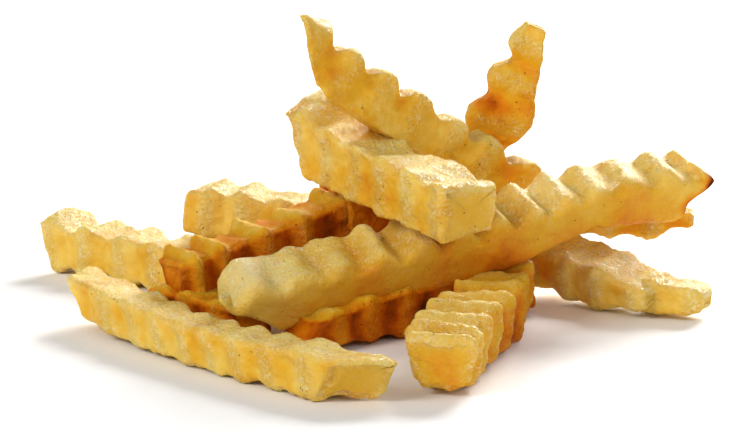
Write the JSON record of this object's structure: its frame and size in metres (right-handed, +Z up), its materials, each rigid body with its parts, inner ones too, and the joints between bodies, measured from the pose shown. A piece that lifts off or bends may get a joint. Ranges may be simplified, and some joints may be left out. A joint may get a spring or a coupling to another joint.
{
  "type": "heap of crinkle-cut french fries",
  "caption": "Loose heap of crinkle-cut french fries lying crossed over one another on a flat surface, for dressing a table, tray or plate.",
  "frame": {"origin": "middle of the heap's footprint, on the surface it lies on", "axes": "+Z up, +X to the right in the usual view of the heap, which looks along +Y"},
  "size_m": [0.1318, 0.1102, 0.057],
  "materials": {
    "fried_potato": "golden fried potato crust, unevenly browned, with a thin film of frying oil"
  },
  "bodies": {
    "root": {"fries_heap": "fried_potato"}
  },
  "joints": []
}
